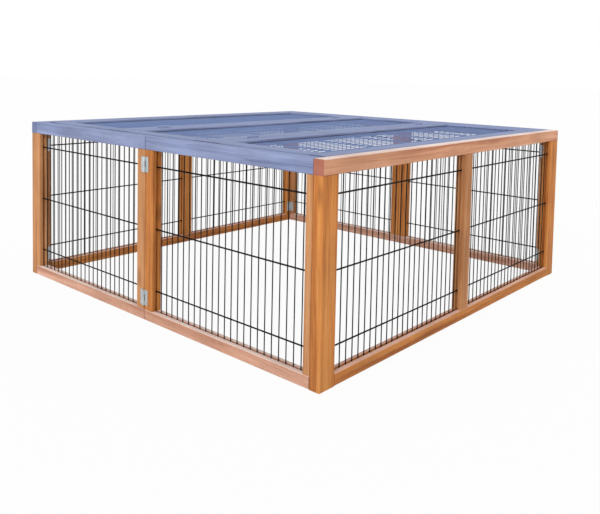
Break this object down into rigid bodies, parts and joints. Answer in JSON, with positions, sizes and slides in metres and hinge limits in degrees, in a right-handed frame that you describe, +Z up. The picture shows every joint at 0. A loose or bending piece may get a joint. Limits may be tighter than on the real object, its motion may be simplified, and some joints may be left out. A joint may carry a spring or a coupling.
{
  "type": "pet run",
  "caption": "Square wooden run for small animals with wire net walls, sides that fold inwards on hinges and a hinged lift-off roof, open below.",
  "frame": {"origin": "middle of the run's footprint, on the ground", "axes": "+X along the front frame to the right, +Y from the front frame to the back frame, +Z up"},
  "size_m": [1.2134, 1.2, 0.4867],
  "materials": {
    "wood": "sawn softwood with an orange brown glaze",
    "blue_wood": "sawn softwood with a blue grey glaze",
    "black_wire": "black coated welded wire",
    "blue_wire": "blue grey coated welded wire",
    "zinc": "zinc plated steel"
  },
  "bodies": {
    "back_frame": {"back_bottom_rail": "wood", "back_cleats": "wood", "back_hinges": "zinc", "back_left_mesh": "black_wire", "back_left_stile": "wood", "back_mid_post": "wood", "back_right_mesh": "black_wire", "back_right_stile": "wood", "back_top_rail": "wood"},
    "back_lid": {"back_lid_hinges": "zinc", "back_lid_mesh": "blue_wire", "back_lid_rails": "blue_wood", "back_lid_stiles": "blue_wood"},
    "front_frame": {"front_bottom_rail": "wood", "front_cleats": "wood", "front_hinges": "zinc", "front_left_mesh": "black_wire", "front_left_stile": "wood", "front_mid_post": "wood", "front_right_mesh": "black_wire", "front_right_stile": "wood", "front_top_rail": "wood"},
    "front_lid": {"front_lid_hinges": "zinc", "front_lid_mesh": "blue_wire", "front_lid_rails": "blue_wood", "front_lid_stiles": "blue_wood"},
    "left_far": {"left_far_bottom_rail": "wood", "left_far_cleat": "wood", "left_far_corner_stile": "wood", "left_far_hinges": "zinc", "left_far_mesh": "black_wire", "left_far_middle_stile": "wood", "left_far_top_rail": "blue_wood"},
    "left_near": {"left_near_bottom_rail": "wood", "left_near_cleat": "wood", "left_near_corner_stile": "wood", "left_near_hinges": "zinc", "left_near_mesh": "black_wire", "left_near_middle_stile": "wood", "left_near_top_rail": "blue_wood"},
    "right_far": {"right_far_bottom_rail": "wood", "right_far_cleat": "wood", "right_far_corner_stile": "wood", "right_far_hinges": "zinc", "right_far_mesh": "black_wire", "right_far_middle_stile": "wood", "right_far_top_rail": "blue_wood"},
    "right_near": {"right_near_bottom_rail": "wood", "right_near_cleat": "wood", "right_near_corner_stile": "wood", "right_near_hinges": "zinc", "right_near_mesh": "black_wire", "right_near_middle_stile": "wood", "right_near_top_rail": "blue_wood"},
    "roof_middle": {"roof_middle_hinges": "zinc", "roof_middle_mesh": "blue_wire", "roof_middle_rails": "blue_wood", "roof_middle_stiles": "blue_wood"}
  },
  "joints": [
    {"name": "fold", "type": "hinge", "parent": "front_frame", "child": "left_near", "pos_m": [-0.5685, -0.5685, 0], "axis": [0, 0, -1], "range_deg": [0, 84]},
    {"name": "left_middle", "type": "hinge", "parent": "left_near", "child": "left_far", "pos_m": [-0.6035, 0, 0], "axis": [0, 0, -1], "range_deg": [-168, 0]},
    {"name": "back_corner", "type": "hinge", "parent": "left_far", "child": "back_frame", "pos_m": [-0.5685, 0.5685, 0], "axis": [0, 0, -1], "range_deg": [0, 84]},
    {"name": "right_corner", "type": "hinge", "parent": "front_frame", "child": "right_near", "pos_m": [0.5685, -0.5685, 0], "axis": [0, 0, -1], "range_deg": [-84, 0]},
    {"name": "right_middle", "type": "hinge", "parent": "right_near", "child": "right_far", "pos_m": [0.6035, 0, 0], "axis": [0, 0, -1], "range_deg": [0, 168]},
    {"name": "roof_lift", "type": "slide", "parent": "front_frame", "child": "roof_middle", "axis": [0, 0, 1], "range_m": [0, 0.9979]},
    {"name": "front_lid_swing", "type": "hinge", "parent": "roof_middle", "child": "front_lid", "pos_m": [0, -0.18933, 0.4835], "axis": [-1, 0, 0], "range_deg": [0, 105]},
    {"name": "back_lid_swing", "type": "hinge", "parent": "roof_middle", "child": "back_lid", "pos_m": [0, 0.18933, 0.4835], "axis": [1, 0, 0], "range_deg": [0, 105]}
  ],
  "couplings": [
    {"joint": "left_middle", "follows": "fold", "ratio": -2},
    {"joint": "back_corner", "follows": "fold", "ratio": 1},
    {"joint": "right_corner", "follows": "fold", "ratio": -1},
    {"joint": "right_middle", "follows": "fold", "ratio": 2},
    {"joint": "roof_lift", "follows": "fold", "m_per_rad": 0.68}
  ]
}
